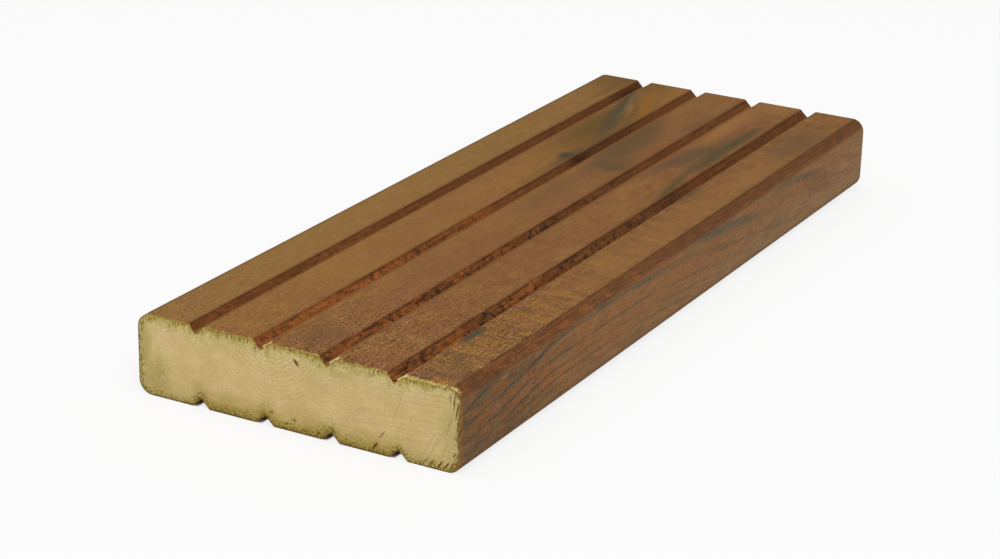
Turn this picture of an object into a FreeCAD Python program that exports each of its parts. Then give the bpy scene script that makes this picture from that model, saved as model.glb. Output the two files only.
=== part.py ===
import FreeCAD, Part
import math
import os
import Sketcher
from FreeCAD import Vector

# Decking board: one length of planed softwood with V-grooves along both faces.
# X runs across the board, Y along it and Z through it.
# The origin is on the underside, in the middle of the board.

# Driving dimensions, in millimetres
dimensions = {
    "board_width": 120.0,      # across the grooves
    "board_thickness": 28.0,   # from the lands of one face to those of the other
    "board_length": 320.0,     # between the sawn ends
    "edge_radius": 5.0,        # rounding of the four long edges
    "groove_count": 4,         # on each face
    "groove_pitch": 24.5,      # from the middle of one groove to the next
    "groove_offset": 0.9,      # of each face's grooves from the middle of the board
    "groove_width": 6.4,       # at the lands, between the corners before they are eased
    "groove_depth": 2.9,       # from the lands to the lowest point of the V
    "nose_radius": 0.4,        # rounding in the bottom of the V
    "arris_radius": 1.0,       # easing of the corners between groove and lands
}

doc = FreeCAD.newDocument("decking_board")
sheet = doc.addObject("Spreadsheet::Sheet", "dimensions")
for row, (alias, value) in enumerate(dimensions.items(), start=1):
    sheet.set(f"A{row}", alias)
    sheet.set(f"B{row}", str(value))
    sheet.setAlias(f"B{row}", alias)
doc.recompute()

# Ends and centres of sketch geometry, as the constraints number them
START, END, CENTRE = 1, 2, 3
X_AXIS = -1
ORIGIN = (X_AXIS, START)
QUARTER = math.pi / 2


def datum(body, role):
    return next(feature for feature in body.Origin.OriginFeatures if feature.Role == role)


def section_sketch(body, name):
    # The XZ plane cuts the board across, half way along
    sketch = body.newObject("Sketcher::SketchObject", name)
    sketch.AttachmentSupport = [(datum(body, "XZ_Plane"), "")]
    sketch.MapMode = "FlatFace"
    return sketch


def line(sketch, start, end, construction=False):
    return sketch.addGeometry(Part.LineSegment(Vector(*start), Vector(*end)), construction)


def arc(sketch, centre, radius, start_angle, end_angle):
    circle = Part.Circle(Vector(*centre), Vector(0, 0, 1), radius)
    return sketch.addGeometry(Part.ArcOfCircle(circle, start_angle, end_angle), False)


def constrain(sketch, kind, *where):
    sketch.addConstraint(Sketcher.Constraint(kind, *where))


def drive(sketch, name, expression, kind, *where):
    # A constraint's first value comes from the drawing; the sheet then sets it
    value = sketch.evalExpression(expression)
    index = sketch.addConstraint(Sketcher.Constraint(kind, *where, float(value)))
    sketch.renameConstraint(index, name)
    sketch.setExpression(f"Constraints.{name}", expression)


def draw_blank(sketch):
    # A rectangle with rounded corners, centred on the origin
    radius = sheet.edge_radius
    right = sheet.board_width / 2
    top = sheet.board_thickness / 2
    inner_right, inner_top = right - radius, top - radius
    flats = [
        line(sketch, (-inner_right, -top), (inner_right, -top)),
        line(sketch, (right, -inner_top), (right, inner_top)),
        line(sketch, (inner_right, top), (-inner_right, top)),
        line(sketch, (-right, inner_top), (-right, -inner_top)),
    ]
    corners = []
    centres = [(inner_right, -inner_top), (inner_right, inner_top), (-inner_right, inner_top),
               (-inner_right, -inner_top)]
    for turn, centre in enumerate(centres):
        start_angle = (turn - 1) * QUARTER
        corners.append(arc(sketch, centre, radius, start_angle, start_angle + QUARTER))
    for turn, corner in enumerate(corners):
        constrain(sketch, "Tangent", flats[turn], END, corner, START)
        constrain(sketch, "Tangent", corner, END, flats[(turn + 1) % len(flats)], START)
    bottom_flat, right_flat, top_flat, left_flat = flats
    for flat in (bottom_flat, top_flat):
        constrain(sketch, "Horizontal", flat)
    for flat in (right_flat, left_flat):
        constrain(sketch, "Vertical", flat)
    for corner in corners[1:]:
        constrain(sketch, "Equal", corners[0], corner)
    constrain(sketch, "Symmetric", bottom_flat, START, top_flat, START, *ORIGIN)
    drive(sketch, "width", "dimensions.board_width", "DistanceX", left_flat, START, right_flat, START)
    drive(sketch, "thickness", "dimensions.board_thickness",
          "DistanceY", bottom_flat, START, top_flat, START)
    drive(sketch, "radius", "dimensions.edge_radius", "Radius", corners[0])


def draw_knife(sketch):
    # The V of the first groove in the upper face: a round nose, two flanks, and hollows
    # beside them that ease the corners of the lands
    land = sheet.board_thickness / 2
    middle = -(sheet.groove_count - 1) * sheet.groove_pitch / 2 - sheet.groove_offset
    nose, arris = sheet.nose_radius, sheet.arris_radius
    half_width = sheet.groove_width / 2
    nose_drop = sheet.groove_depth - nose
    slope = math.atan2(nose_drop, half_width) + math.asin(nose / math.hypot(nose_drop, half_width))
    tangent = arris * math.tan(slope / 2)
    shoulder = half_width + tangent
    top_reach, top_level = half_width - tangent * math.cos(slope), land - tangent * math.sin(slope)
    foot_reach, foot_level = nose * math.sin(slope), land - nose_drop - nose * math.cos(slope)
    back = land + sheet.groove_depth

    axis = line(sketch, (middle, land - sheet.groove_depth), (middle, land), construction=True)
    left_side = line(sketch, (middle - shoulder, back), (middle - shoulder, land))
    left_arris = arc(sketch, (middle - shoulder, land - arris), arris, QUARTER - slope, QUARTER)
    left_flank = line(sketch, (middle - top_reach, top_level), (middle - foot_reach, foot_level))
    nose_arc = arc(sketch, (middle, land - nose_drop), nose, -QUARTER - slope, -QUARTER + slope)
    right_flank = line(sketch, (middle + foot_reach, foot_level), (middle + top_reach, top_level))
    right_arris = arc(sketch, (middle + shoulder, land - arris), arris, QUARTER, QUARTER + slope)
    right_side = line(sketch, (middle + shoulder, land), (middle + shoulder, back))
    back_line = line(sketch, (middle + shoulder, back), (middle - shoulder, back))
    corner = sketch.addGeometry(Part.Point(Vector(middle + half_width, land)), True)

    constrain(sketch, "Vertical", axis)
    constrain(sketch, "Vertical", left_side)
    constrain(sketch, "Vertical", right_side)
    constrain(sketch, "Horizontal", back_line)
    constrain(sketch, "Coincident", right_side, END, back_line, START)
    constrain(sketch, "Coincident", back_line, END, left_side, START)
    constrain(sketch, "Perpendicular", left_side, END, left_arris, END)
    constrain(sketch, "Perpendicular", right_arris, START, right_side, START)
    constrain(sketch, "Tangent", left_arris, START, left_flank, START)
    constrain(sketch, "Tangent", left_flank, END, nose_arc, START)
    constrain(sketch, "Tangent", nose_arc, END, right_flank, START)
    constrain(sketch, "Tangent", right_flank, END, right_arris, END)
    constrain(sketch, "Equal", left_arris, right_arris)
    constrain(sketch, "Symmetric", left_side, END, right_side, START, axis)
    constrain(sketch, "Horizontal", axis, END, right_side, START)
    constrain(sketch, "Horizontal", axis, END, corner, START)
    constrain(sketch, "PointOnObject", corner, START, right_flank)
    constrain(sketch, "PointOnObject", nose_arc, CENTRE, axis)
    constrain(sketch, "PointOnObject", axis, START, nose_arc)
    drive(sketch, "land", "dimensions.board_thickness / 2", "DistanceY", *ORIGIN, axis, END)
    drive(sketch, "first",
          "(dimensions.groove_count - 1) * dimensions.groove_pitch / 2 + dimensions.groove_offset",
          "DistanceX", axis, END, *ORIGIN)
    drive(sketch, "half_width", "dimensions.groove_width / 2", "DistanceX", axis, END, corner, START)
    drive(sketch, "depth", "dimensions.groove_depth", "DistanceY", axis, START, axis, END)
    drive(sketch, "nose", "dimensions.nose_radius", "Radius", nose_arc)
    drive(sketch, "arris", "dimensions.arris_radius", "Radius", right_arris)
    # The knife stands as far out of the face as it cuts into it
    drive(sketch, "relief", "dimensions.groove_depth", "DistanceY", right_side, START, right_side, END)


# The planed blank, the length of the board
board = doc.addObject("PartDesign::Body", "decking_board")
board.setExpression(".Placement.Base.z", "dimensions.board_thickness / 2")
blank_section = section_sketch(board, "blank_section")
draw_blank(blank_section)
blank = board.newObject("PartDesign::Pad", "blank")
blank.Profile = blank_section
blank.SideType = "Symmetric"
blank.setExpression("Length", "dimensions.board_length")
doc.recompute()

# One groove right along the upper face, beside the left-hand land
knife_section = section_sketch(board, "knife_section")
draw_knife(knife_section)
first_groove = board.newObject("PartDesign::Pocket", "first_groove")
first_groove.Profile = knife_section
first_groove.SideType = "Symmetric"
first_groove.Type = "ThroughAll"
doc.recompute()

# The rest of the grooves across the upper face, and the same with the board turned over
grooves = board.newObject("PartDesign::MultiTransform", "grooves")
across = board.newObject("PartDesign::LinearPattern", "across")
across.Direction = (knife_section, ["H_Axis"])
across.Mode = "Spacing"
across.setExpression("Offset", "dimensions.groove_pitch")
across.setExpression("Occurrences", "dimensions.groove_count")
underside = board.newObject("PartDesign::PolarPattern", "underside")
underside.Axis = (datum(board, "Y_Axis"), [""])
underside.Mode = "Spacing"
underside.Offset = 180
underside.Occurrences = 2
grooves.Originals = [first_groove]
grooves.Transformations = [across, underside]
board.Tip = grooves
doc.recompute()

# Nothing is written unless the whole document came out right
faults = [item.Name for item in doc.Objects if "Invalid" in item.State or "Error" in item.State]
if faults:
    raise RuntimeError("failed: " + ", ".join(faults))
sub_parts = [board]
os.makedirs("parts", exist_ok=True)
for sub_part in sub_parts:
    shape = sub_part.Shape
    if shape.isNull() or not shape.isValid() or len(shape.Solids) != 1:
        raise RuntimeError(f"{sub_part.Label} is not one sound solid")
    shape.exportStep(f"parts/{sub_part.Label}.step")
    print(sub_part.Label, f"volume {shape.Volume:.1f} mm3,", shape.BoundBox)
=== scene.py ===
import math
import bpy
from mathutils import Matrix, Vector


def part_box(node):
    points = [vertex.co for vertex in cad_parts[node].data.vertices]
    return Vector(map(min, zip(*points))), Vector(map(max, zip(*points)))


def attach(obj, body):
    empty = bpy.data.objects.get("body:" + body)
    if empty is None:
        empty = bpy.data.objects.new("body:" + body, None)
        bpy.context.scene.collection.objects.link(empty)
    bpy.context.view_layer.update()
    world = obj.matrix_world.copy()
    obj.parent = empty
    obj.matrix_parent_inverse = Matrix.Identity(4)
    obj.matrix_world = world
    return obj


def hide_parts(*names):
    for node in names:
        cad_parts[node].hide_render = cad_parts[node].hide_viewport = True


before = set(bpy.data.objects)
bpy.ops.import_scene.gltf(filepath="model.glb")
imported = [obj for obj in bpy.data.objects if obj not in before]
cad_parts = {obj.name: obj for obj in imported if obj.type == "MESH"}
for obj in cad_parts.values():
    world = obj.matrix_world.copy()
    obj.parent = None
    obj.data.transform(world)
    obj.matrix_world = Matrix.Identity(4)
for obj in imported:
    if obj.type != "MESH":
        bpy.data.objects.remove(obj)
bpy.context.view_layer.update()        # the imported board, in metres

mm = 0.001
boardLow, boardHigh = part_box("decking_board")
boardSize = (boardHigh - boardLow) / mm
print("board", [round(side, 2) for side in boardSize], "mm")


# node building, shared by the shapes and the finishes

class Wire:
    # one socket of a node tree; sums written with it add Math nodes
    def __init__(self, tree, socket=None):
        self.tree = tree
        self.socket = socket

    def add(self, nodeType, settings=None, inputs=None, output=0):
        node = self.tree.nodes.new(nodeType)
        for name, value in (settings or {}).items():
            setattr(node, name, value)
        for name, value in (inputs or {}).items():
            socket = pickSocket(node.inputs, name)
            if isinstance(value, Wire):
                self.tree.links.new(value.socket, socket)
            else:
                socket.default_value = value
        return Wire(self.tree, pickSocket(node.outputs, output) if node.outputs else None)

    def out(self, name):      # another output of the same node
        return Wire(self.tree, pickSocket(self.socket.node.outputs, name))

    def math(self, operation, *others):
        return self.add("ShaderNodeMath", {"operation": operation}, dict(enumerate((self,) + others)))

    def flipped(self, operation, other):
        return self.add("ShaderNodeMath", {"operation": operation}, {0: other, 1: self})

    def __add__(self, other):
        return self.math("ADD", other)

    def __sub__(self, other):
        return self.math("SUBTRACT", other)

    def __mul__(self, other):
        return self.math("MULTIPLY", other)

    def __truediv__(self, other):
        return self.math("DIVIDE", other)

    def __pow__(self, other):
        return self.math("POWER", other)

    def __rsub__(self, other):
        return self.flipped("SUBTRACT", other)

    def __rtruediv__(self, other):
        return self.flipped("DIVIDE", other)

    def __neg__(self):
        return self.math("MULTIPLY", -1.0)

    def __abs__(self):
        return self.math("ABSOLUTE")

    __radd__ = __add__
    __rmul__ = __mul__


def pickSocket(sockets, name):
    shown = [socket for socket in sockets if socket.enabled]
    if isinstance(name, int):
        return shown[name]
    return next(socket for socket in shown if socket.name == name)


def split(place):
    parts = place.add("ShaderNodeSeparateXYZ", {}, {0: place})
    return parts.out("X"), parts.out("Y"), parts.out("Z")


def join(start, x, y, z):
    return start.add("ShaderNodeCombineXYZ", {}, {"X": x, "Y": y, "Z": z})


def times(place, scale):
    return place.add("ShaderNodeVectorMath", {"operation": "SCALE"}, {0: place, "Scale": scale})


def hypotenuse(a, b):
    return (a * a + b * b).math("SQRT")


def ease(value, low, high):      # 0 below low, 1 above high, smooth between
    return value.add("ShaderNodeMapRange", {"interpolation_type": "SMOOTHSTEP"},
                     {"Value": value, "From Min": low, "From Max": high})


def lumps(place, size, detail=2.0, roughness=0.5, shift=(0.0, 0.0, 0.0)):      # noise in lumps of this size
    scale = [1.0 / side for side in size]
    if place.tree.type == "SHADER":
        laid = place.add("ShaderNodeMapping", {}, {"Vector": place, "Location": shift, "Scale": scale})
    else:
        laid = place.add("ShaderNodeVectorMath", {"operation": "MULTIPLY_ADD"},
                         {0: place, 1: scale, 2: shift})
    return laid.add("ShaderNodeTexNoise", {}, {"Vector": laid, "Scale": 1.0, "Detail": detail,
                                               "Roughness": roughness})


# the board's shape, in millimetres until the tree's last step

boardShape = {
    "Width": boardSize.x,
    "Length": boardSize.y,
    "Thickness": boardSize.z,
    "Edge radius": 5.0,
    "Groove pitch": 24.5,
    "Groove offset": 0.9,      # of each face's grooves from the middle of the board
    "Groove width": 6.4,
    "Groove depth": 2.9,
    "Nose": 0.16,              # how far the V's bottom is rounded off
    "Easing": 0.5,             # softness of the corners beside a groove
    "Grain relief": 0.035,     # depth of the fibres in the planed faces
    "Wall relief": 0.16,       # depth of the torn lumps in the groove walls
    "Saw relief": 0.10,        # depth of the saw's marks in the ends
    "Torn edge": 0.6,          # how far the near upper edge breaks away
}
boardMesh = {
    "groovesEachFace": 4,
    "columnsPerPitch": 64,
    "rows": 110,
    "layers": 36,
    "endGrading": 1.6,         # above 1, rows crowd towards the ends
}


def newTree(name, inputs):
    tree = bpy.data.node_groups.new(name, "GeometryNodeTree")
    tree.interface.new_socket("Geometry", in_out="OUTPUT", socket_type="NodeSocketGeometry")
    for label, value in inputs.items():
        kind = "NodeSocketMaterial" if isinstance(value, bpy.types.Material) else "NodeSocketFloat"
        tree.interface.new_socket(label, in_out="INPUT", socket_type=kind)
    start = Wire(tree)
    return start, start.add("NodeGroupInput")


def closeTree(start, made, finish):
    made = start.add("GeometryNodeRealizeInstances", {}, {"Geometry": made})
    made = start.add("GeometryNodeSetMaterial", {}, {"Geometry": made, "Material": finish})
    start.add("NodeGroupOutput", {}, {"Geometry": made})


def growPiece(name, tree, inputs):      # the tree's result as a plain mesh
    piece = bpy.data.objects.new(name, bpy.data.meshes.new(name + "Seed"))
    bpy.context.scene.collection.objects.link(piece)
    modifier = piece.modifiers.new("rule", "NODES")
    modifier.node_group = tree
    for item in tree.interface.items_tree:
        if item.in_out == "INPUT":
            modifier[item.identifier] = inputs[item.name]
    graph = bpy.context.evaluated_depsgraph_get()
    grown = bpy.data.meshes.new_from_object(piece.evaluated_get(graph), preserve_all_data_layers=True,
                                            depsgraph=graph)
    piece.modifiers.remove(modifier)
    grown.name = name
    piece.data = grown
    triangles = sum(len(face.vertices) - 2 for face in grown.polygons)
    print(name, len(grown.vertices), "points", triangles, "triangles")
    return piece


def moulded(given, across, through, blockWidth):
    # where a point of a plain block goes in the grooved section, and how deep in the wood it lies
    pitch, radius = given.out("Groove pitch"), given.out("Edge radius")
    grooveHalf = given.out("Groove width") / 2
    half, halfThick = given.out("Width") / 2, given.out("Thickness") / 2
    outermost = pitch * (boardMesh["groovesEachFace"] / 2)

    # columns are even over the grooves, and stretch a little from there to the edge
    even = outermost - grooveHalf
    reach = abs(across)
    spare = (reach - even).math("MAXIMUM", 0.0) * (half - even) / (blockWidth / 2 - even)
    reach = reach.math("MINIMUM", even) + spare
    level = abs(through)

    # grooves press both faces in
    fromMiddle = pitch / 2 - reach.math("MINIMUM", outermost).math("PINGPONG", pitch / 2)
    nose = given.out("Nose")
    slope = given.out("Groove depth") / (grooveHalf - nose)
    drop = ((grooveHalf - hypotenuse(fromMiddle, nose)) * slope).math("SMOOTH_MAX", 0.0, given.out("Easing"))
    pressed = 1 - drop / halfThick
    overTip = level * pressed - (halfThick - given.out("Groove depth"))
    underTip = hypotenuse(fromMiddle, overTip)
    besideFlank = (fromMiddle - overTip) * math.sqrt(0.5)
    onFlank = (fromMiddle + overTip).math("GREATER_THAN", 0.0)
    underGroove = underTip + (besideFlank - underTip) * onFlank
    skin = (halfThick - level * pressed).math("MINIMUM", half - reach)
    skin = skin.math("MINIMUM", underGroove).math("MAXIMUM", 0.0)

    # the block's square corners wrap onto the rounded long edges
    overX = (reach - (half - radius)).math("MAXIMUM", 0.0)
    overZ = (level - (halfThick - radius)).math("MAXIMUM", 0.0)
    most, least = overX.math("MAXIMUM", overZ), overX.math("MINIMUM", overZ)
    turn = least / most.math("MAXIMUM", 1e-5) * (math.pi / 4)
    steep = overZ.math("GREATER_THAN", overX)
    far, near = most * turn.math("COSINE"), most * turn.math("SINE")
    reach = reach.math("MINIMUM", half - radius) + far + (near - far) * steep
    level = level.math("MINIMUM", halfThick - radius) + near + (far - near) * steep
    # each face's grooves lie to one side of the middle
    inside = 1 - ease(abs(across), even, half - radius)
    shift = through / halfThick * given.out("Groove offset") * inside
    return across.math("SIGN") * reach - shift, through.math("SIGN") * level * pressed + halfThick, skin, drop


def boardTree(inputs):
    start, given = newTree("boardMoulding", inputs)
    columnStep = boardShape["Groove pitch"] / boardMesh["columnsPerPitch"]
    columns = 2 * round(boardSize.x / 2 / columnStep)
    halfLength = given.out("Length") / 2
    block = start.add("GeometryNodeMeshCube", {}, {
        "Size": join(start, columns * columnStep, given.out("Length"), given.out("Thickness")),
        "Vertices X": columns + 1,
        "Vertices Y": boardMesh["rows"] + 1,
        "Vertices Z": boardMesh["layers"] + 1,
    })
    across, along, through = split(start.add("GeometryNodeInputPosition"))
    x, z, skin, drop = moulded(given, across, through, columns * columnStep)
    share = abs(along) / halfLength
    endGap = (1 - share).math("MAXIMUM", 0.0) ** boardMesh["endGrading"] * halfLength
    y = along.math("SIGN") * (halfLength - endGap)

    # the sawn ends, their sharp edges, and what the finish reads
    onEnd = share.math("GREATER_THAN", 0.9999)
    arris = start.add("GeometryNodeInputMeshEdgeAngle").math("GREATER_THAN", 0.5) * onEnd
    made = start.add("GeometryNodeSetShadeSmooth", {"domain": "EDGE"},
                     {"Geometry": block, "Selection": arris, "Shade Smooth": False})
    topGap = given.out("Thickness") - drop - z
    notes = {"endGrain": ("FACE", onEnd), "skin": ("POINT", skin), "groove": ("POINT", drop),
             "endGap": ("POINT", endGap), "topGap": ("POINT", topGap)}
    for name, (domain, value) in notes.items():
        made = start.add("GeometryNodeStoreNamedAttribute", {"data_type": "FLOAT", "domain": domain},
                         {"Geometry": made, "Name": name, "Value": value})
    made = start.add("GeometryNodeSetPosition", {}, {"Geometry": made, "Position": join(start, x, y, z)})

    # relief only goes into the wood, so the board keeps its size
    def note(name):
        return start.add("GeometryNodeInputNamedAttribute", {"data_type": "FLOAT"}, {"Name": name})

    spot = start.add("GeometryNodeInputPosition")
    normal = start.add("GeometryNodeInputNormal")
    fibres = lumps(spot, (0.8, 26.0, 0.8), 3.0, 0.6) * given.out("Grain relief")
    tornWall = lumps(spot, (1.4, 4.5, 1.4), 3.0, 0.55, (7.0, 3.0, 1.0)) * given.out("Wall relief")
    planed = fibres + tornWall * ease(note("groove"), 0.25, 1.0)
    sawLines = lumps(spot, (7.0, 50.0, 0.9), 2.0, 0.6, (2.0, 0.0, 5.0))
    nap = lumps(spot, (0.7, 50.0, 0.7), 2.0, 0.6, (4.0, 0.0, 9.0))
    sawn = (sawLines + nap) / 2 * given.out("Saw relief")
    endShare = ease(abs(split(normal)[1]), 0.6, 0.9)
    depth = planed + (sawn - planed) * endShare
    made = start.add("GeometryNodeSetPosition", {}, {"Geometry": made, "Offset": times(normal, -depth)})

    # the saw tore fibres out along the near upper edge
    comb = ease(lumps(spot, (0.7, 3.0, 3.0), 2.0, 0.7, (1.0, 6.0, 2.0)), 0.3, 0.7)
    toEdge = hypotenuse(note("topGap"), note("endGap"))
    nearEnd = split(spot)[1].math("LESS_THAN", 0.0)
    torn = comb * (toEdge * -1.1).math("EXPONENT") * nearEnd * given.out("Torn edge")
    made = start.add("GeometryNodeSetPosition", {}, {
        "Geometry": made, "Offset": join(start, 0.0, torn * 0.6, -torn)})
    metres = times(start.add("GeometryNodeInputPosition"), mm)
    made = start.add("GeometryNodeSetPosition", {}, {"Geometry": made, "Position": metres})
    closeTree(start, made, given.out("Finish"))
    return start.tree


# the wood's finish, in millimetres too

def tint(red, green, blue):      # a colour as a paint program shows it
    def straight(level):
        share = level / 255
        return share / 12.92 if share <= 0.04045 else ((share + 0.055) / 1.055) ** 2.4
    return straight(red), straight(green), straight(blue), 1.0


def blend(factor, under, over):
    return factor.add("ShaderNodeMix", {"data_type": "RGBA"},
                      {"Factor": factor, "A": under, "B": over}, "Result")


def ragged(place, size, amount):      # the same place with a wandering edge
    drift = lumps(place, size, 3.0, 0.6, (4.0, 9.0, 6.0)).out("Color")
    drift = drift.add("ShaderNodeVectorMath", {"operation": "SUBTRACT"}, {0: drift, 1: (0.5, 0.5, 0.5)})
    return place.add("ShaderNodeVectorMath", {"operation": "MULTIPLY_ADD"},
                     {0: drift, 1: (amount, amount, amount), 2: place})


def oval(place, through, centre, reach, turn=0.0, core=0.35):
    # 1 in the core of an oval and 0 outside it; through is the axis that it runs along
    spread, where, angles = list(reach), list(centre), [0.0, 0.0, 0.0]
    spread.insert(through, 1e5)
    where.insert(through, 0.0)
    angles[through] = math.radians(turn)
    laid = place.add("ShaderNodeMapping", {"vector_type": "TEXTURE"},
                     {"Vector": place, "Location": where, "Rotation": angles, "Scale": spread})
    ball = laid.add("ShaderNodeTexGradient", {"gradient_type": "SPHERICAL"}, {"Vector": laid}, "Fac")
    return ease(ball, 0.0, 1.0 - core)


def shade(colour, amount):      # lighter above 0, darker below it
    return colour.add("ShaderNodeHueSaturation", {}, {"Value": amount + 1, "Color": colour})


rings = {
    "pith": (-9.3, 32.0),        # across and up, at the near end
    "pithDrop": 2.0,             # how much lower the pith runs further along
    "dropLength": 60.0,
    "sideDip": 10.0,             # how much lower the rings meet the sides at the near end
    "sinkFrom": -94.0,           # along, where the rings begin to sink again
    "sink": 0.00045,             # for each square millimetre from there
    "width": 0.9,
    "coreWidth": 1.5,            # of the rings round the pith
    "coreRadius": 30.0,
    "darkRing": 69.56,           # radius of one of them
    "wander": 1.2,
}
sawnEnd = {
    "cream": tint(207, 183, 131),
    "honey": tint(194, 168, 112),
    "ringTan": tint(172, 146, 86),
    "greyGreen": tint(177, 163, 98),
    "paleGreen": tint(197, 184, 128),
    "rimYellow": tint(171, 149, 68),
    "moss": tint(160, 146, 86),
    "hay": tint(167, 144, 72),
    "olive": tint(152, 131, 58),
    "bark": tint(92, 70, 34),
    "dyedRim": tint(126, 92, 46),
    "darkOlive": tint(88, 72, 30),
    "check": tint(92, 62, 24),
    # across, up, half length, half width, turn in degrees, strength
    "checks": [
        (0.3, 23.7, 2.0, 0.9, 48, 0.9),
        (-0.4, 4.1, 1.3, 0.4, 5, 0.8),
        (-9.0, 5.0, 1.5, 0.9, -20, 0.5),
        (8.6, 2.0, 1.1, 0.6, 25, 0.8),
        (3.4, 1.5, 0.9, 0.5, 10, 0.7),
        (-3.2, 2.3, 0.9, 0.5, -15, 0.7),
        (29.2, 2.6, 2.2, 0.6, -54, 1.0),
        (31.7, 6.9, 2.8, 0.3, -54, 0.7),
        (36.2, 14.5, 3.8, 0.22, -65, 0.3),
        (38.2, 20.0, 4.0, 0.22, -72, 0.25),
        (57.0, 23.0, 3.6, 0.35, -86, 0.9),
        (58.0, 20.5, 3.6, 0.45, -80, 0.8),
        (58.9, 13.5, 3.0, 0.5, -72, 0.75),
        (59.0, 10.0, 2.4, 0.5, -70, 0.7),
        (48.5, 8.0, 7.0, 0.2, -64, 0.3),
        (54.0, 7.5, 6.0, 0.2, -70, 0.3),
        (57.4, 6.3, 1.3, 0.5, -60, 0.8),
        (58.4, 16.5, 4.0, 0.35, -83, 0.8),
        (55.6, 24.5, 2.8, 0.28, -88, 0.7),
        (50.5, 8.0, 6.5, 0.22, -66, 0.4),
        (52.6, 11.0, 6.0, 0.2, -68, 0.35),
        (55.2, 15.0, 6.0, 0.2, -75, 0.4),
        (47.0, 1.8, 2.2, 0.4, -52, 0.6),
        (49.3, 1.9, 2.1, 0.42, -50, 0.9),
        (52.3, 2.0, 2.3, 0.46, -50, 0.95),
        (54.7, 2.2, 2.2, 0.42, -52, 0.9),
        (56.6, 2.6, 2.2, 0.42, -56, 0.85),
    ],
    # the same for patches that stayed green
    "greens": [
        (-52.5, 6.5, 8.0, 11.0, 0, 0.8),
        (-57.5, 17.0, 3.5, 9.0, 0, 0.7),
        (-37.0, 7.5, 3.5, 4.0, 0, 0.6),
        (14.0, 23.6, 12.0, 3.0, 0, 0.4),
        (56.0, 14.0, 5.0, 13.0, 0, 0.5),
    ],
}
planed = {
    "ochre": tint(152, 109, 57),
    "redBrown": tint(135, 91, 54),
    "plum": tint(114, 81, 54),
    "straw": tint(176, 131, 62),
    "sage": tint(148, 113, 62),
    "rose": tint(148, 98, 64),
    "edgeRed": tint(98, 63, 39),
    "edgeLine": tint(80, 56, 34),
    "slate": tint(76, 74, 58),
    "sideBrown": tint(142, 101, 64),
    "sideDull": tint(112, 84, 58),
    "sidePale": tint(146, 114, 81),
    "sideRust": tint(148, 88, 42),
    "sideRose": tint(140, 96, 70),
    "sideGreen": tint(122, 98, 64),
    "mist": tint(100, 91, 70),
    "tornPale": tint(214, 190, 112),
    "tornOlive": tint(142, 120, 56),
    "sliver": tint(232, 208, 142),
    # across, and how much longer the pale chips beside a groove are from there on
    "chipSteps": [(-25.0, 2.9), (0.0, 1.8), (24.0, -0.8)],
    "chipPlace": 3.15,           # right of the groove's middle
}
zones = {      # where one kind of figure gives way to the next
    "side": (57.2, 59.4),        # across, on both hands
    "upperFace": (18.0, 22.0),   # up
    "firstLand": (-44.0, -36.0),
    "rightLands": (13.0, 17.0),
    "lastLand": (36.0, 40.0),
    "secondGroove": (-32.0, -18.0),
    "thirdGroove": (-6.0, 4.0),
}
grooveWall = {
    "brown": tint(108, 66, 33),
    "orange": tint(156, 90, 43),
    "dark": tint(50, 38, 31),
    "litFoot": tint(150, 106, 60),
}
# lines drawn on the sides: colour, along, up, half length, half width, turn in degrees, strength
sideLines = [
    ("slate", -150.0, 22.5, 15.0, 1.2, 10.5, 0.9),
    ("slate", -150.0, 16.9, 15.0, 0.7, 8.5, 0.65),
    ("slate", -128.0, 19.4, 15.0, 0.8, 9.0, 0.75),
    ("slate", -112.0, 21.9, 14.5, 1.3, 12.0, 0.85),
    ("slate", -94.0, 23.9, 14.0, 1.4, 4.5, 0.7),
    ("mist", -68.0, 24.3, 24.0, 1.7, -0.5, 0.95),
    ("mist", -38.0, 23.2, 26.0, 1.6, -3.5, 0.8),
    ("sidePale", -135.0, 23.4, 5.0, 0.9, 5.0, 0.6),
    ("sidePale", -94.0, 22.7, 16.0, 0.9, 4.0, 0.5),
    ("mist", 20.0, 23.5, 22.0, 2.2, -4.0, 0.9),
    ("mist", 44.0, 20.9, 26.0, 2.2, -7.5, 0.7),
    ("mist", 34.0, 21.5, 40.0, 4.5, -6.2, 0.4),
    ("mist", 100.0, 21.7, 28.0, 2.2, -7.0, 0.75),
    ("sideDull", 114.0, 14.5, 18.0, 6.0, -8.0, 0.4),
    ("slate", -152.0, 7.0, 14.0, 2.4, 4.0, 0.35),
]
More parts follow.
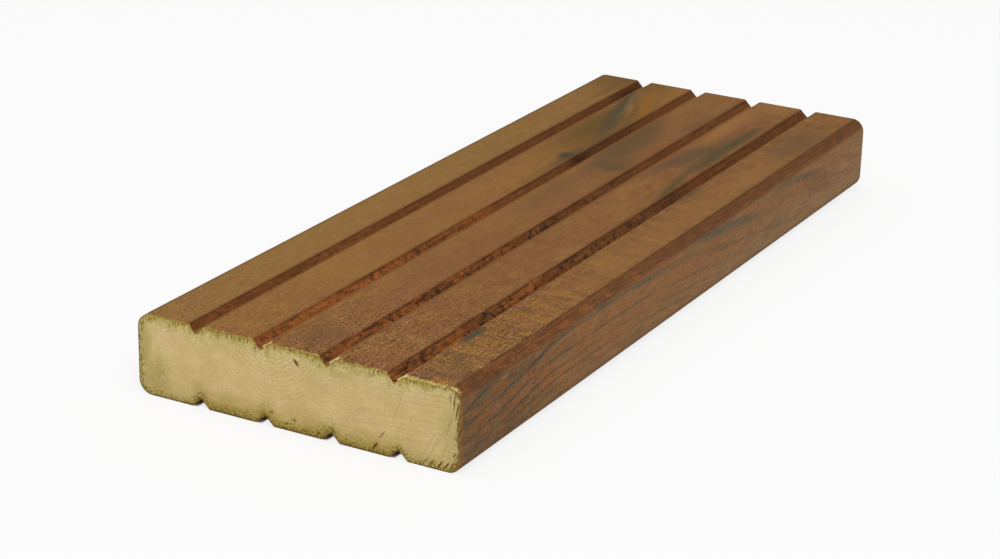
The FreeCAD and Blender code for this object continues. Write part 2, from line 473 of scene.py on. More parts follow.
# stains on the upper face: colour, across, along, half width, half length, turn in degrees, strength
stainColours = {
    "ink": tint(58, 56, 46),
    "grey": tint(90, 76, 48),
    "olive": tint(108, 80, 38),
    "amber": tint(148, 98, 38),
    "dove": tint(136, 114, 82),
    "dusk": tint(106, 80, 54),
    "rust": tint(146, 86, 50),
    "honey": tint(156, 110, 62),
    "smoke": tint(84, 75, 57),
}
stainDepth = {"ink": 0.45, "grey": 0.3, "olive": 0.2, "dusk": 0.05}      # darkens a groove that it crosses
narrowStain = 3.1      # half widths below this have a finer edge
stains = [
    ("olive", -26.0, 100.0, 14.0, 60.0, 0, 1.0),
    ("olive", -30.0, 152.0, 12.0, 14.0, 0, 0.4),
    ("grey", -25.4, 107.0, 4.8, 54.0, 14.7, 0.9),
    ("grey", -32.4, 132.0, 4.0, 36.0, 14.7, 1.0),
    ("ink", -38.0, 138.0, 3.6, 30.0, 0, 0.75),
    ("amber", -21.6, 129.0, 4.4, 44.0, 17.0, 0.8),
    ("dove", -29.4, 129.0, 1.3, 30.0, 15.6, 0.45),
    ("honey", -25.0, 121.0, 2.0, 14.0, 17.0, 0.6),
    ("olive", -18.4, 62.0, 2.9, 80.0, 0, 0.5),
    ("olive", -45.0, 137.0, 3.0, 26.0, 0, 0.5),
    ("ink", -18.8, 56.0, 5.6, 7.0, 0, 0.95),
    ("ink", -14.0, 57.0, 3.6, 12.0, 0, 0.85),
    ("grey", -17.6, 55.0, 4.4, 20.0, 0, 0.7),
    ("grey", -14.0, 80.0, 4.2, 44.0, 2.0, 0.75),
    ("olive", -7.5, 84.0, 9.0, 52.0, 5.0, 0.85),
    ("dusk", -5.5, 80.0, 12.0, 52.0, 5.0, 0.85),
    ("olive", -6.0, 88.0, 6.0, 40.0, 5.0, 0.35),
    ("dusk", -4.5, 14.0, 8.0, 46.0, 0, 0.4),
    ("dusk", 6.0, 116.0, 4.5, 20.0, 0, 0.5),
    ("grey", 0.0, 53.0, 12.0, 6.0, -10.0, 0.6),
    ("grey", 4.0, 56.0, 6.0, 14.0, 0, 0.55),
    ("rust", 5.5, 82.0, 1.8, 24.0, 0, 0.45),
    ("dusk", 21.5, 82.0, 8.0, 44.0, -11.0, 0.95),
    ("grey", 28.6, 88.0, 4.8, 50.0, 0.5, 0.95),
    ("grey", 30.9, 43.0, 3.0, 26.0, 7.0, 0.85),
    ("grey", 29.4, 110.0, 3.0, 30.0, 2.0, 0.85),
    ("rust", 32.6, 64.0, 1.7, 20.0, 0, 0.5),
    ("honey", 17.5, 118.0, 6.0, 34.0, 4.0, 0.8),
    ("honey", 18.0, 32.0, 5.0, 22.0, 0, 0.5),
    ("honey", 18.0, 139.0, 6.0, 18.0, 0, 0.6),
    ("honey", 50.0, 30.0, 9.0, 150.0, 0, 0.25),
    ("honey", 23.0, 156.0, 16.0, 14.0, 0, 0.7),
    ("honey", 51.0, 68.0, 8.0, 30.0, 0, 0.35),
    ("ink", 35.0, 36.0, 3.0, 16.0, 0, 0.5),
    ("grey", 39.8, 38.0, 2.4, 22.0, 0, 0.7),
    ("smoke", 40.0, -122.0, 3.0, 8.5, 0, 1.0),
    ("smoke", 40.3, -116.5, 2.9, 7.0, 0, 0.9),
    ("ink", 40.6, -117.5, 0.6, 1.3, 0, 0.6),
    ("dusk", 49.0, 118.0, 12.0, 34.0, 0, 0.6),
    ("dusk", 0.0, -146.0, 12.0, 15.0, 0, 0.45),
    ("dusk", 50.0, -146.0, 9.0, 14.0, 0, 0.4),
    ("dusk", 46.0, -136.0, 8.0, 3.0, 0, 0.5),
    ("ink", -17.3, -119.0, 0.5, 2.6, -38.0, 0.7),
    ("olive", -46.0, 160.0, 24.0, 32.0, 0, 0.7),
]


def growth(place):
    # distance from the pith, and the dark part of each ring
    x, y, z = split(place)
    nearY = boardLow.y / mm
    pithX, pithZ = rings["pith"]
    along = ease(y, nearY, nearY + rings["dropLength"])
    dip = (1 - along) * ease(abs(x), 25.0, 58.0) * rings["sideDip"]
    sink = (y - rings["sinkFrom"]).math("MAXIMUM", 0.0) ** 2 * rings["sink"]
    up = z - pithZ + along * rings["pithDrop"] + dip + sink
    wander = lumps(place, (40.0, 110.0, 40.0), 2.0, 0.5, (3.0, 1.0, 2.0)) - 0.5
    radius = hypotenuse(x - pithX, up) + wander * rings["wander"]
    ripple = lumps(place, (3.5, 50.0, 3.5), 3.0, 0.6) * (1.4 - ease(abs(x), 30.0, 56.0))
    core = (rings["coreRadius"] - radius).math("MAXIMUM", 0.0) * (1 / rings["width"] - 1 / rings["coreWidth"])
    count = (radius - rings["darkRing"]) / rings["width"] + core + ripple
    phase = (count + 0.7).math("FRACT")
    late = ease(phase, 0.6, 0.85) * (1 - ease(phase, 0.9, 1.0))
    return radius, late


def heartwood(place, grown):
    # cream, with the saw's nap and level lines, and arcs round the pith
    x, y, z = split(place)
    radius, late = grown
    right = ease(x, -5.0, 35.0)
    nap = lumps(place, (0.55, 9.0, 0.55), 2.0, 0.75)
    cloud = lumps(place, (9.0, 40.0, 7.0), 3.0, 0.6, (5.0, 5.0, 1.0))
    level = lumps(join(x, x, y, z - x * 0.08), (60.0, 40.0, 0.9), 3.0, 0.65, (2.0, 0.0, 5.0)) - 0.5
    colour = blend(ease(cloud, 0.2, 0.75), sawnEnd["honey"], sawnEnd["cream"])
    colour = shade(colour, level * (0.05 + right * 0.4) + (nap - 0.5) * 0.6 + (1 - right) * 0.02)
    broken = ease(lumps(place, (3.0, 40.0, 3.0), 3.0, 0.7, (3.0, 2.0, 4.0)), 0.36, 0.56)
    shown = (1 - ease(radius, 11.0, 28.0)) * (1 - ease(x, -6.0, 8.0) * 0.6) * broken
    colour = shade(colour, (late - 0.3) * shown * 0.26)
    colour = blend(late * ease(radius, 45.0, 62.0) * 0.25, colour, sawnEnd["ringTan"])
    return colour, nap


def sawnFinish(place, skin, topGap, groove, grown):
    colour, nap = heartwood(place, grown)
    x, y, z = split(place)

    # green and olive from the outside in, widest along the bottom
    edge = ragged(place, (4.0, 30.0, 4.0), 4.0)
    speck = lumps(place, (0.85, 30.0, 0.75), 2.0, 0.7, (9.0, 2.0, 5.0)) - 0.5
    for across, up, length, width, turn, strength in sawnEnd["greens"]:
        patch = oval(edge, 1, (across, up), (length, width), turn, 0.2) * (speck * 2.6 + 0.8) * strength
        colour = blend(patch, colour, sawnEnd["moss"])
    loose = lumps(place, (4.0, 30.0, 4.0), 4.0, 0.7, (2.0, 3.0, 8.0)) - 0.5
    outer = ease(abs(x), 30.0, 46.0)
    bottom = 1 - ease(z, 2.0, 7.0)
    clean = 1 - ease(groove, 0.6, 2.2) * ease(z, 12.0, 18.0) * 0.85      # right under the upper grooves
    depth = skin + loose * (5.5 - bottom * 2.5) + speck * 3.0
    colour = blend((1 - ease(depth, 0.5, 5.0)) * clean * 0.7, colour, sawnEnd["greyGreen"])
    haze = (1 - ease(z + loose * 9.0 + speck * 3.0, 3.0, 10.0)) * (1 - outer * 0.7)
    colour = blend(haze * 0.58, colour, sawnEnd["hay"])
    fromTop = topGap + loose * 7.0
    pale = ease(lumps(place, (4.0, 30.0, 2.0), 2.0, 0.6, (6.0, 1.0, 3.0)), 0.4, 0.56)
    pale = pale * (0.3 + ease(x, -42.0, -32.0) * 0.5 + ease(x, 10.0, 20.0) * 0.2)
    colour = blend((1 - ease(fromTop, 1.5, 5.0)) * pale * 0.75, colour, sawnEnd["paleGreen"])
    yellow = (0.9 - ease(x, 12.0, 20.0) * (1 - ease(x, 34.0, 40.0)) * 0.5) * clean
    colour = blend((1 - ease(fromTop + speck * 2.5, 0.4, 2.6)) * yellow, colour, sawnEnd["rimYellow"])
    low = (1 - ease(depth / (1.1 + bottom * (1.6 - outer * 1.2)), 0.1, 2.0)) * ease(topGap, 1.5, 4.0) * clean
    colour = blend(low * (0.74 - outer * 0.46), colour, sawnEnd["olive"])
    rim = 1 - ease(skin, 1.0, 7.0)
    colour = shade(colour, speck * rim * 0.9)

    # dark strokes along the rim, partly dyed fibre and partly painted shade in the gaps between torn fibres,
    # specks near the bottom, and checks
    strokes = lumps(place, (0.42, 50.0, 2.6), 2.0, 0.6, (1.0, 6.0, 2.0))
    strokeShare = (1 - ease(skin + loose * 7.0, 0.3, 2.8)) * clean * (1 - bottom * 0.6) * 0.9
    colour = blend(ease(strokes, 0.5, 0.62) * strokeShare, colour, sawnEnd["darkOlive"])
    crowded = (1 - ease(skin, 0.2, 5.0)) * (1 - ease(z, 4.0, 14.0) * 0.5) * clean
    dots = lumps(place, (0.6, 30.0, 0.45), 2.0, 0.6, (6.0, 8.0, 3.0)) - crowded * 0.2
    colour = blend((1 - ease(dots, 0.22, 0.29)) * 0.9, colour, sawnEnd["darkOlive"])
    outlineReach = 0.6 + bottom * (0.5 - outer * 0.3)
    outline = clean * (1 - ease(skin + speck * 1.5, 0.15, outlineReach)) * ease(topGap, 0.8, 2.0)
    colour = blend(outline * 0.76, colour, sawnEnd["bark"])
    dyed = (1 - ease(skin + loose * 4.0 + speck * 3.0, 0.5, 2.4)) * ease(x, 55.0, 58.0)
    colour = blend(dyed * 0.9, colour, sawnEnd["dyedRim"])
    edge = ragged(place, (1.2, 30.0, 1.2), 0.7)
    nearEnd = y.math("LESS_THAN", 0.0)
    for across, up, length, width, turn, strength in sawnEnd["checks"]:
        colour = blend(oval(edge, 1, (across, up), (length, width), turn) * nearEnd * strength,
                       colour, sawnEnd["check"])
    return colour, nap


def readFigure(place):
    # where a point lies on the board, and the figure that all its planed faces share
    x, y, z = split(place)
    onSide = ease(abs(x), *zones["side"])
    pair = ease(x, *zones["rightLands"])
    last = ease(x, *zones["lastLand"])
    return {
        "x": x, "y": y, "z": z, "onSide": onSide, "pair": pair, "last": last,
        "onTop": ease(z, *zones["upperFace"]) * (1 - onSide),
        # the two right-hand lands keep their figure further along
        "lively": 1 - ease(y - pair * 25 - last * 13, -165.0, -55.0) * 0.6,
        "cloud": lumps(place, (20.0, 70.0, 20.0), 3.0, 0.55, (8.0, 2.0, 4.0)) - 0.5,
        "patch": lumps(place, (5.0, 8.0, 5.0), 3.0, 0.8, (5.0, 3.0, 2.0)) - 0.5,
        "fibre": lumps(place, (0.5, 9.0, 0.5), 3.0, 0.65) - 0.5,
        "fleck": lumps(place, (0.7, 1.3, 0.7), 2.0, 0.75, (3.0, 1.0, 7.0)) - 0.5,
        "hue": lumps(place, (14.0, 30.0, 5.0), 3.0, 0.6, (6.0, 2.0, 8.0)),
    }


def dyedFaces(place, wood):
    # dye taken up by the grain of both faces
    x, y, pair, last, lively = (wood[name] for name in ("x", "y", "pair", "last", "lively"))
    cloud, patch, fibre, fleck, hue = (wood[name] for name in ("cloud", "patch", "fibre", "fleck", "hue"))
    middle = ease(x, -20.0, 2.0) * (1 - ease(x, 32.0, 48.0) * 0.6)
    band = lumps(place, (8.0, 2.6, 8.0), 2.0, 0.6, (3.0, 7.0, 1.0)) - 0.5
    warm = cloud * (1.1 - last * 0.7) + middle * 0.3 + (patch * 0.8 + band * (0.5 + last * 1.4)) * lively
    colour = blend(ease(warm, -0.3, 0.5), planed["ochre"], planed["redBrown"])
    colour = blend((1 - ease(x, *zones["firstLand"])) * 0.6, colour, planed["sage"])
    plumShare = lively * (0.35 + middle * 0.6 + last * 0.35)
    colour = blend(ease(patch + band * 0.8, 0.02, 0.3) * plumShare, colour, planed["plum"])
    strawShare = lively * (0.45 - last * 0.15)
    colour = blend(ease(fleck * 0.3 - patch - band, 0.0, 0.4) * strawShare, colour, planed["straw"])
    colour = blend(ease(hue, 0.52, 0.68) * 0.3, colour, planed["rose"])
    colour = blend((1 - ease(hue, 0.34, 0.48)) * 0.3, colour, planed["sage"])
    bars = lumps(place, (13.0, 3.4, 13.0), 1.0, 0.5, (2.0, 5.0, 9.0))
    colour = blend(ease(bars, 0.54, 0.64) * last * lively * 0.6, colour, planed["plum"])
    colour = blend((1 - ease(bars, 0.36, 0.46)) * last * lively * 0.25, colour, planed["straw"])
    grain = (fleck * 1.5 + fibre * 1.2 + band * 0.5) * lively
    grain = grain + grain.math("MAXIMUM", 0.0) * 0.4
    grain = grain * lively * (1.05 + middle * (1.0 - pair * 0.4) + last * 0.5)
    colour = shade(colour, grain - lively * (0.03 + last * 0.05))
    mottle = lumps(place, (2.4, 6.0, 2.4), 2.0, 0.6, (1.0, 8.0, 4.0)) - 0.5
    mottle = mottle * (0.3 + pair * 0.3) + patch * 0.4
    fine = (fibre + fleck) * ease(y, -100.0, 20.0) * 0.1
    return shade(colour, mottle + cloud * 0.12 + fine - ease(y, -10.0, 60.0) * 0.05)


def stainedFace(place, wood, colour):
    # the upper face's stains, and how much they darken the grooves
    fineEdge = ragged(place, (2.2, 5.0, 2.2), 1.4)
    softEdge = ragged(place, (5.0, 14.0, 5.0), 6.0)
    stained = 0
    for name, across, along, width, length, turn, strength in stains:
        edge = fineEdge if width < narrowStain else softEdge
        mask = oval(edge, 2, (across, along), (width, length), turn, 0.15) * wood["onTop"] * strength
        colour = blend(mask, colour, stainColours[name])
        if name in stainDepth:
            stained = mask * stainDepth[name] + stained
    return colour, stained


def sidesAndEdges(place, wood, late, colour):
    # sides with their rings cut along
    x, y, z = (wood[name] for name in ("x", "y", "z"))
    cloud, patch, fibre, fleck, hue = (wood[name] for name in ("cloud", "patch", "fibre", "fleck", "hue"))
    nearSide = ease(y, -150.0, -80.0)
    side = blend(ease(nearSide + cloud + patch * 0.6, 0.1, 0.9), planed["sideDull"], planed["sideBrown"])
    pale = ease(y, -60.0, 120.0) * (0.9 - ease(z, 9.0, 20.0) * 0.8)
    pale = pale + (1 - ease(z, 3.0, 12.0)) * ease(y, -110.0, -60.0) * 0.35
    pale = pale + ease(y, 115.0, 150.0) * 0.5
    side = blend(pale.math("MINIMUM", 1.0), side, planed["sidePale"])
    nearRust = (1 - ease(y, -120.0, -40.0) * 0.8) * (0.35 + ease(z, 2.0, 16.0) * 0.65)
    rust = lumps(place, (6.0, 11.0, 2.2), 4.0, 0.7, (1.0, 4.0, 3.0))
    side = blend(ease(rust, 0.46, 0.62) * nearRust, side, planed["sideRust"])
    side = blend((1 - ease(rust, 0.3, 0.44)) * nearRust * 0.5, side, planed["edgeRed"])
    side = blend(ease(hue, 0.5, 0.66) * 0.55, side, planed["sideRose"])
    side = blend((1 - ease(hue, 0.34, 0.5)) * 0.55, side, planed["sideGreen"])
    side = blend(ease(z, 17.0, 20.0) * (1 - ease(y, -105.0, -80.0)) * 0.25, side, planed["slate"])
    drawn = ease(z, 15.5, 18.0) * (1 - ease(y, -118.0, -104.0))      # sideLines has these instead
    strong = 1 - ease(y, -118.0, -70.0) * 0.45 - ease(y, 0.0, 70.0) * 0.25
    uneven = ease(lumps(place, (9.0, 45.0, 9.0), 2.0, 0.5), 0.3, 0.55)
    lineShare = (1 - drawn) * (0.5 + ease(z, 3.0, 12.0) * 0.5) * strong * uneven
    side = blend(late * lineShare * 0.75, side, planed["slate"])
    edge = ragged(place, (5.0, 12.0, 5.0), 1.2)
    for name, along, up, length, width, turn, strength in sideLines:
        side = blend(oval(edge, 0, (along, up), (length, width), turn, 0.2) * strength, side, planed[name])
    side = shade(side, (fleck * 0.8 + fibre * 0.8 + patch * 0.4) * (0.9 + wood["lively"] * 0.45))
    colour = blend(wood["onSide"], colour, side)

    # long edges planed round; the left-hand ones are hardly darker than the faces
    fromMiddle = abs(z - boardSize.z / 2)
    rounding = ease(abs(x), 55.6, 56.6) * ease(fromMiddle + (patch + fibre) * 2, 9.6, 12.0)
    bare = rust * 0.6 + patch * 0.6 + fibre + fleck * 0.5 + 0.2
    bare = ease(bare, 0.44, 0.72) * (1 - ease(y, -100.0, 60.0) * 0.5)
    rounded = blend(bare * 0.6, planed["edgeRed"], planed["sideRust"])
    rounded = blend((1 - ease(z, 2.0, 6.0)) * 0.75, rounded, planed["sideDull"])
    # painted shade: a dark line along the very bottom of the lower rounding, where it meets the floor
    rounded = blend((1 - ease(z, 0.3, 1.8)) * 0.6, rounded, planed["slate"])
    rounded = shade(rounded, fibre * 1.4 + patch * 0.6)
    kept = 1 - x.math("LESS_THAN", 0.0) * 0.55
    colour = blend(rounding * (0.85 + cloud * 0.5) * kept, colour, rounded)
    reach = abs(x) + fibre * 0.6
    arris = ease(reach, 55.2, 55.9) * (1 - ease(reach, 56.1, 57.0))
    return blend(arris * kept * 0.6, colour, planed["edgeLine"])


def rightOfGroove(x):      # distance from the middle of the nearest groove of the upper face
    pitch = boardShape["Groove pitch"]
    firstGroove = pitch * (boardMesh["groovesEachFace"] - 1) / 2 + boardShape["Groove offset"]
    return (((x + firstGroove) / pitch + 0.5).math("FRACT") - 0.5) * pitch


def grooveWalls(place, wood, groove, stained, colour):
    # blotches where the cutter tore the grain, calmer to the left and further along; painted shade along each
    # wall's upper edge and on the land beside it, and painted light at the wall's foot
    x, y, fibre, fleck = (wood[name] for name in ("x", "y", "fibre", "fleck"))
    blotch = lumps(place, (1.8, 3.2, 1.8), 3.0, 0.65, (2.0, 2.0, 6.0))
    streak = lumps(join(x, groove, y, x * 0.3), (0.55, 15.0, 3.0), 2.0, 0.6, (4.0, 1.0, 7.0)) - 0.5
    soot = lumps(place, (2.2, 3.0, 2.2), 3.0, 0.6, (7.0, 4.0, 1.0)) + streak * 0.2
    area = lumps(place, (12.0, 26.0, 12.0), 1.0, 0.5, (1.0, 2.0, 9.0)) - 0.5
    rough = ease(x, *zones["secondGroove"]) * (1 - ease(y, -50.0, 80.0) * 0.75)
    second = ease(x, *zones["secondGroove"]) * (1 - ease(x, *zones["thirdGroove"]))
    glow = (0.4 + rough * 0.4 + second * 0.15) * (1 - ease(y, -100.0, 40.0) * 0.85)
    glow = ease(blotch + area * 0.4 + second * 0.08, 0.42, 0.62) * glow
    wall = blend(glow, grooveWall["brown"], grooveWall["orange"])
    darkness = ease(soot - area * 0.3, 0.48, 0.7) * (0.22 + rough * 0.75 - second * 0.35)
    # painted shade: the wall darkens towards its upper edge, below the shoulder
    darkness = darkness.math("MAXIMUM", (1 - ease(groove + streak, 0.4, 1.0)) * 0.5)
    wall = blend(darkness, wall, grooveWall["dark"])
    third = ease(x, 5.0, 10.0) * (1 - ease(x, 16.0, 22.0))
    third = third * (ease(y, -20.0, 40.0) + ease(y, 80.0, 120.0) * 2)
    midway = ease(y, -20.0, 40.0) * (1 - ease(y, 80.0, 130.0)) * ease(x, -25.0, -20.0)
    tearing = (fleck + fibre * 0.5) * 0.7 + streak * (1.0 + rough * 1.7 - second * 1.2)
    wall = shade(wall, tearing + third * 0.05 - stained.math("MINIMUM", 0.6) - midway * 0.06)
    # painted light: the wall's foot takes a light, land-like colour, as if lit
    litFootFrom = 2.15 + ease(x, 24.0, 30.0) * 0.5
    wall = blend(ease(groove + fleck * 0.4 - litFootFrom, 0.0, 0.3) * 0.8, wall, grooveWall["litFoot"])
    aside = rightOfGroove(x)
    # painted shade: the wall's brown carried onto the land beside each groove's left shoulder, stronger
    # further along
    brinkShade = ease(aside + fleck * 1.5, -4.4, -3.0) * (1 - ease(aside, -1.0, 0.0)) * wood["onTop"]
    colour = blend(brinkShade * (0.2 + ease(y, -80.0, 120.0) * 0.3), colour, grooveWall["brown"])
    return blend(ease(groove + fleck * 0.3, 0.02, 0.5), colour, wall)


def tornEdge(place, wood, groove, endGap, colour):
    # the torn near edge shows pale wood, furthest on the right-hand land
    x, last, fleck = (wood[name] for name in ("x", "last", "fleck"))
    nearTop = wood["y"].math("LESS_THAN", 0.0) * wood["onTop"]
    reach = 0.35 + ease(x, -36.0, -26.0) * 0.25 + last * 1.0
    comb = lumps(place, (0.55, 4.0, 0.55), 2.0, 0.7, (1.0, 6.0, 2.0)) - 0.5
    torn = (1 - ease((endGap + comb * 4.0) / reach, 0.5, 1.3)) * nearTop
    olive = ease(comb + fleck * 0.5 - last * 0.08, -0.2, 0.06)
    tornColour = blend(olive, planed["tornPale"], planed["tornOlive"])
    colour = blend(torn * (1 - ease(groove, 1.0, 2.0)), colour, tornColour)

    # chips that the slivers left beside the grooves
    run = 0.01
    for across, longer in planed["chipSteps"]:
        run = x.math("GREATER_THAN", across) * longer + run
    aside = abs(rightOfGroove(x) - planed["chipPlace"])
    chip = 1 - ease(endGap / run + aside * 1.2 + fleck, 0.8, 1.05)
    return blend(chip * nearTop, colour, planed["sliver"])


def planedFinish(place, groove, endGap, grown):
    wood = readFigure(place)
    colour = dyedFaces(place, wood)
    colour, stained = stainedFace(place, wood, colour)
    colour = sidesAndEdges(place, wood, grown[1], colour)
    colour = grooveWalls(place, wood, groove, stained, colour)
    colour = tornEdge(place, wood, groove, endGap, colour)
    return colour, wood["fibre"] + wood["fleck"] * 0.5


woodSurface = {
    "bumpStrength": 0.5,
    "bumpDepth": 0.3,            # millimetres
    "roughness": 0.78,
    "roughnessSpread": 0.1,
    "tornRoughness": 0.85,
    "specular": 0.06,
}


def woodFinish():
    material = bpy.data.materials.new("stainedSoftwood")
    material.use_nodes = True
    material.node_tree.nodes.clear()
    start = Wire(material.node_tree)

    def note(name):
        return start.add("ShaderNodeAttribute", {"attribute_name": name}, {}, "Fac")

    place = start.add("ShaderNodeTexCoord", {}, {}, "Object")
    place = place.add("ShaderNodeMapping", {}, {"Vector": place, "Scale": (1 / mm, 1 / mm, 1 / mm)})
    grown = growth(place)
    sawnColour, nap = sawnFinish(place, note("skin"), note("topGap"), note("groove"), grown)
    planedColour, grain = planedFinish(place, note("groove"), note("endGap"), grown)
    onEnd = note("endGrain")

    def surface(colour, height):
        bump = start.add("ShaderNodeBump", {}, {"Strength": woodSurface["bumpStrength"],
                                                "Distance": woodSurface["bumpDepth"] * mm, "Height": height})
        roughness = woodSurface["roughness"] + height * woodSurface["roughnessSpread"]
        return start.add("ShaderNodeBsdfPrincipled", {}, {
            "Base Color": colour, "Roughness": roughness, "Specular IOR Level": woodSurface["specular"],
            "Normal": bump})

    mixed = start.add("ShaderNodeMixShader", {}, {
        0: onEnd, 1: surface(planedColour, grain), 2: surface(sawnColour, nap)})
    start.add("ShaderNodeOutputMaterial", {}, {"Surface": mixed})
    return material


# pale splinters that the saw left along the near upper edge

tornShape = {
    "Across from": -57.0,
    "Splinter step": 0.42,
    "Shortest": 0.5,
    "Longest": 2.2,
    "Thickness of splinters": 0.3,
    "Sliver thickness": 0.55,
    "Sliver shortest": 2.8,
    "Sliver longest": 4.6,
}
tornMesh = {"splinters": 272, "sides": 6, "slivers": 3, "seed": 5}
tornColours = {"pale": tint(232, 208, 140), "olive": tint(158, 136, 66)}


def splinterTree(inputs):
    start, given = newTree("tornFibres", inputs)

    def chance(low, high, seed):
        return start.add("FunctionNodeRandomValue", {"data_type": "FLOAT"},
                         {"Min": low, "Max": high, "Seed": tornMesh["seed"] + seed})

    spike = start.add("GeometryNodeMeshCone", {}, {"Vertices": tornMesh["sides"], "Radius Top": 0.05,
                                                   "Radius Bottom": 1.0, "Depth": 1.0})

    def lay(count, first, step, length, thick, yaw, seed, aside=0.0, rise=0.0):
        # points along the edge, each with a splinter that lies along the board
        line = start.add("GeometryNodeMeshLine", {"mode": "OFFSET"}, {
            "Count": count, "Start Location": join(start, first, 0.0, 0.0),
            "Offset": join(start, step, 0.0, 0.0)})
        across = split(start.add("GeometryNodeInputPosition"))[0]
        halfThick = given.out("Thickness") / 2
        x, z = moulded(given, across + chance(-0.2, 0.2, seed), halfThick, given.out("Width"))[:2]
        root = join(start, x, boardLow.y / mm + thick * 0.6, z - thick * (1 - rise * 2))
        line = start.add("GeometryNodeSetPosition", {}, {"Geometry": line, "Position": root})
        turn = start.add("FunctionNodeAlignRotationToVector", {"axis": "Z"}, {
            "Vector": join(start, chance(-yaw, yaw, seed + 1) + aside, 1.0, rise)})
        laid = start.add("GeometryNodeInstanceOnPoints", {}, {
            "Points": line, "Instance": spike, "Rotation": turn, "Scale": join(start, thick, thick, length)})
        if rise:
            tone = 0.0
        else:
            at = split(start.add("GeometryNodeInputPosition"))[0]
            tone = 1 - ease(at, 36.0, 42.0) * chance(0.0, 1.0, seed + 2)
        return start.add("GeometryNodeStoreNamedAttribute", {"data_type": "FLOAT", "domain": "INSTANCE"},
                         {"Geometry": laid, "Name": "tone", "Value": tone})

    lastLand = ease(split(start.add("GeometryNodeInputPosition"))[0], 38.0, 44.0)
    spread = chance(0.0, 1.0, 3) ** 3 * (0.35 + lastLand * 0.65)
    length = given.out("Shortest") + spread * (given.out("Longest") - given.out("Shortest"))
    thick = given.out("Thickness of splinters") * chance(0.5, 1.0, 4) * (1 + lastLand * 0.5)
    splinters = lay(tornMesh["splinters"], given.out("Across from"), given.out("Splinter step"),
                    length, thick, 0.25, 10)
    flank = given.out("Groove width") * 0.2 - given.out("Groove pitch") / 2
    length = chance(given.out("Sliver shortest"), given.out("Sliver longest"), 5)
    slivers = lay(tornMesh["slivers"], flank, given.out("Groove pitch"),
                  length, given.out("Sliver thickness"), 0.04, 20, 0.36, 0.4)
    both = start.add("GeometryNodeJoinGeometry", {}, {"Geometry": splinters})
    start.tree.links.new(slivers.socket, both.socket.node.inputs[0])
    made = start.add("GeometryNodeRealizeInstances", {}, {"Geometry": both})
    metres = times(start.add("GeometryNodeInputPosition"), mm)
    made = start.add("GeometryNodeSetPosition", {}, {"Geometry": made, "Position": metres})
    closeTree(start, made, given.out("Finish"))
    return start.tree


def tornFinish():
    material = bpy.data.materials.new("tornSoftwood")
    material.use_nodes = True
    material.node_tree.nodes.clear()
    start = Wire(material.node_tree)
    tone = start.add("ShaderNodeAttribute", {"attribute_name": "tone"}, {}, "Fac")
    shader = start.add("ShaderNodeBsdfPrincipled", {}, {
        "Base Color": blend(tone, tornColours["pale"], tornColours["olive"]),
        "Roughness": woodSurface["tornRoughness"], "Specular IOR Level": woodSurface["specular"]})
    start.add("ShaderNodeOutputMaterial", {}, {"Surface": shader})
    return material


finish = woodFinish()
boardInputs = dict(boardShape, Finish=finish)
board = growPiece("board", boardTree(boardInputs), boardInputs)
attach(board, "root")
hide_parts("decking_board")
tornInputs = dict(boardShape, Finish=tornFinish(), **tornShape)
torn = growPiece("tornFibres", splinterTree(tornInputs), tornInputs)
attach(torn, "root")


# floor, light and camera

studio = {
    "floorSide": 6.0,          # metres
    "floorColour": (0.95, 0.95, 0.95, 1.0),
    "floorWhite": 0.8,         # share of plain white that hides the light's fall-off beside the board
    "underSides": (-4.6, -3.4),      # millimetres from the board's sides, where it ends under the board
    "underEnds": (-1.0, 0.0),        # the same from the ends
    "channelLeft": (-2.2, -1.2),     # and across the grooves of the underside, where it goes on
    "channelRight": (3.2, 3.6),
    "channelEnds": (-6.0, -3.5),
    "sky": 0.80,
    "keyPlace": (0.7, -1.2, 1.6),
    "keySide": 1.2,
    "keyPower": 16.0,
}
camera = {
    "azimuth": 28.714,         # degrees round from the near end
    "elevation": 20.994,
    "roll": 1.419,
    "distance": 930.6,         # millimetres from the aim
    "aim": (-4.14, -21.85, 5.68),
    "focalPixels": 2615.9,
    "imageWidth": 1000,
    "sensorWidth": 36.0,
}


def seenDirectly(start):      # 1 on rays that show the background itself
    path = start.add("ShaderNodeLightPath")
    seen = path.out("Is Camera Ray").math("MAXIMUM", path.out("Is Glossy Ray"))
    return seen.math("MAXIMUM", path.out("Is Transmission Ray"))


def floorFinish():
    material = bpy.data.materials.new("paleFloor")
    material.use_nodes = True
    material.node_tree.nodes.clear()
    start = Wire(material.node_tree)
    matt = start.add("ShaderNodeBsdfDiffuse", {}, {"Color": studio["floorColour"]})
    white = start.add("ShaderNodeEmission", {}, {"Strength": 1.0})
    x, y, z = split(times(start.add("ShaderNodeTexCoord", {}, {}, "Object"), 1 / mm))
    pastSide, pastEnd = abs(x) - boardSize.x / 2, abs(y) - boardSize.y / 2
    beside = ease(pastSide, *studio["underSides"]).math("MAXIMUM", ease(pastEnd, *studio["underEnds"]))
    underGroove = ((x - boardShape["Groove offset"]) / boardShape["Groove pitch"]).math("FRACT") - 0.5
    underGroove = underGroove * boardShape["Groove pitch"]
    channel = ease(underGroove, *studio["channelLeft"]) * (1 - ease(underGroove, *studio["channelRight"]))
    beside = beside.math("MAXIMUM", channel * ease(pastEnd, *studio["channelEnds"]))
    share = seenDirectly(start) * beside * studio["floorWhite"]
    mixed = start.add("ShaderNodeMixShader", {}, {0: share, 1: matt, 2: white})
    start.add("ShaderNodeOutputMaterial", {}, {"Surface": mixed})
    return material


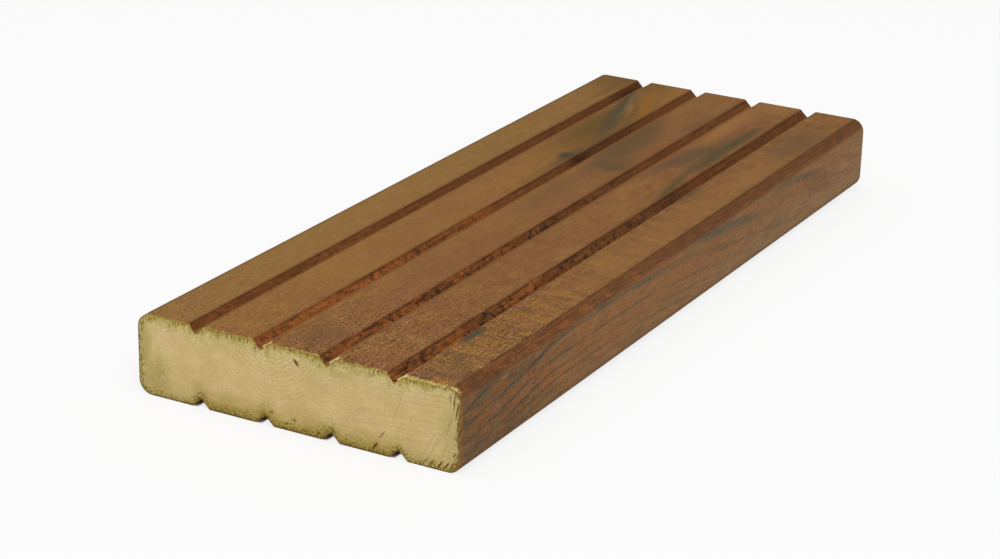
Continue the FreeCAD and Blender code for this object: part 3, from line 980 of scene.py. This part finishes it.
def layFloor():
    mesh = bpy.data.meshes.new("floor")
    half = studio["floorSide"] / 2
    below = boardLow.z - 0.1 * mm
    corners = [(-half, -half, below), (half, -half, below), (half, half, below), (-half, half, below)]
    mesh.from_pydata(corners, [], [(0, 1, 2, 3)])
    mesh.materials.append(floorFinish())
    floor = bpy.data.objects.new("floor", mesh)
    bpy.context.scene.collection.objects.link(floor)


def lightStudio():
    world = bpy.data.worlds.new("studio")
    bpy.context.scene.world = world
    world.use_nodes = True
    world.node_tree.nodes.clear()
    start = Wire(world.node_tree)
    seen = seenDirectly(start)
    sky = start.add("ShaderNodeBackground", {}, {"Strength": seen * (1 - studio["sky"]) + studio["sky"]})
    start.add("ShaderNodeOutputWorld", {}, {"Surface": sky})
    lamp = bpy.data.lights.new("key", "AREA")
    lamp.shape = "DISK"
    lamp.size = studio["keySide"]
    lamp.energy = studio["keyPower"]
    key = bpy.data.objects.new("key", lamp)
    key.location = studio["keyPlace"]
    key.rotation_euler = (-Vector(studio["keyPlace"])).to_track_quat("-Z", "Y").to_euler()
    bpy.context.scene.collection.objects.link(key)


def placeCamera():
    azimuth, elevation, roll = (math.radians(camera[name]) for name in ("azimuth", "elevation", "roll"))
    back = Vector((math.sin(azimuth) * math.cos(elevation), -math.cos(azimuth) * math.cos(elevation),
                   math.sin(elevation)))
    level = Vector((0, 0, 1)).cross(back).normalized()
    upright = back.cross(level)
    right = math.cos(roll) * level + math.sin(roll) * upright
    up = math.cos(roll) * upright - math.sin(roll) * level
    lens = bpy.data.cameras.new("camera")
    lens.sensor_fit = "HORIZONTAL"
    lens.sensor_width = camera["sensorWidth"]
    lens.lens = camera["focalPixels"] / camera["imageWidth"] * camera["sensorWidth"]
    lens.clip_start = 0.01
    holder = bpy.data.objects.new("camera", lens)
    turn = Matrix((right, up, back)).transposed().to_4x4()
    holder.matrix_world = Matrix.Translation((Vector(camera["aim"]) + back * camera["distance"]) * mm) @ turn
    bpy.context.scene.collection.objects.link(holder)
    bpy.context.scene.camera = holder


layFloor()
lightStudio()
placeCamera()
bpy.context.scene.view_settings.view_transform = "Standard"
print("studio ready")
